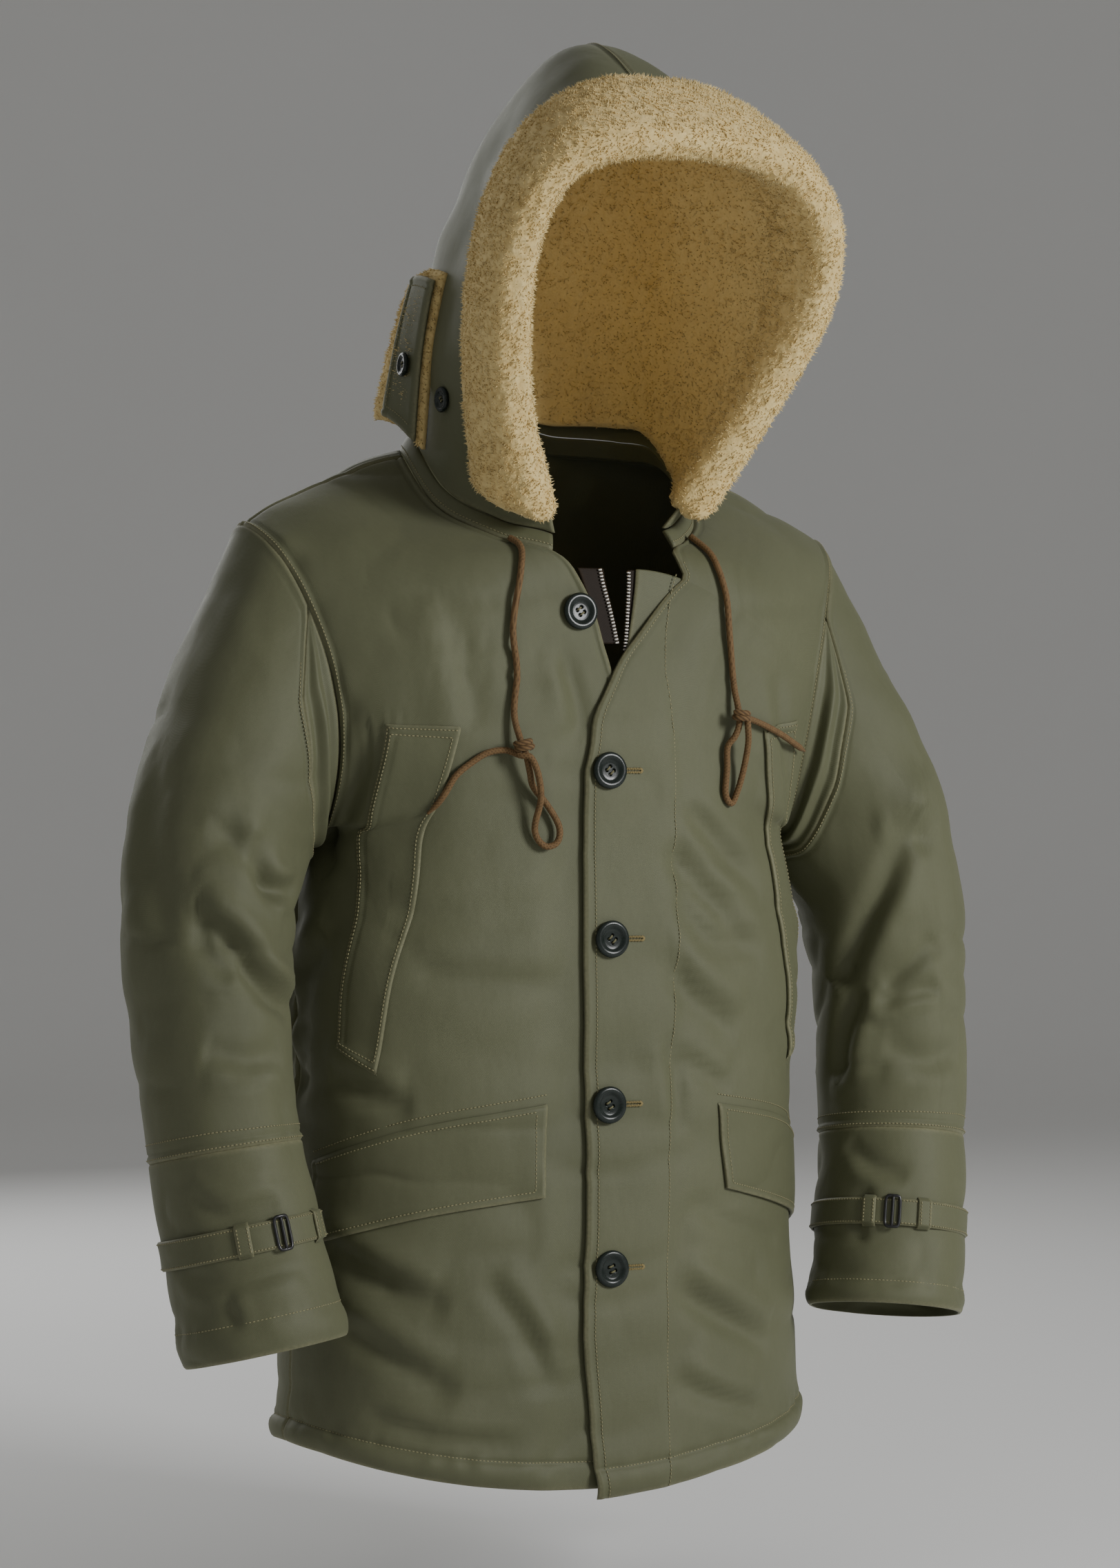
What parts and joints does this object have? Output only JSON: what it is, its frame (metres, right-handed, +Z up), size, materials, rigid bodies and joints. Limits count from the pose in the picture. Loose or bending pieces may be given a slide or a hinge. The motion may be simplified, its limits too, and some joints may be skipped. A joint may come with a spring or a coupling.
{
  "type": "hooded flight parka",
  "caption": "Hooded cotton flight parka in olive cloth with a fleece-lined hood, buttoned front, slanted chest pockets, hip flaps and strapped cuffs.",
  "frame": {"origin": "on the wearer's neck axis, level with the inner ends of the two shoulder seams", "axes": "+Z up, -Y the way the front faces, +X towards the wearer's left"},
  "size_m": [0.7195, 0.3818, 1.112],
  "materials": {
    "shell_cloth": "matt",
    "fleece": "matt",
    "button": "gloss",
    "buckle": "satin",
    "cord": "matt",
    "zip_tape": "matt"
  },
  "bodies": {
    "root": {"back": "shell_cloth", "button_chest": "button", "button_hem": "button", "button_hip": "button", "button_hood": "button", "button_tab": "button", "button_top": "button", "button_waist": "button", "chest_pocket_left": "shell_cloth", "chest_pocket_right": "shell_cloth", "chin_tab": "shell_cloth", "chin_tab_fur": "fleece", "cuff_buckle_left": "buckle", "cuff_buckle_right": "buckle", "cuff_keeper_left": "shell_cloth", "cuff_keeper_right": "shell_cloth", "cuff_loop_left": "shell_cloth", "cuff_loop_right": "shell_cloth", "cuff_strap_left": "shell_cloth", "cuff_strap_right": "shell_cloth", "drawcord_left": "cord", "drawcord_right": "cord", "flap_left": "shell_cloth", "flap_right": "shell_cloth", "fly_left": "shell_cloth", "front_left": "shell_cloth", "front_right": "shell_cloth", "gusset_left": "shell_cloth", "gusset_right": "shell_cloth", "hood_left": "shell_cloth", "hood_lining": "fleece", "hood_right": "shell_cloth", "hood_trim": "fleece", "neck_band": "shell_cloth", "sleeve_cuff_left": "shell_cloth", "sleeve_cuff_right": "shell_cloth", "sleeve_left": "shell_cloth", "sleeve_right": "shell_cloth", "zip_tape_left": "zip_tape", "zip_tape_right": "zip_tape"}
  },
  "joints": []
}
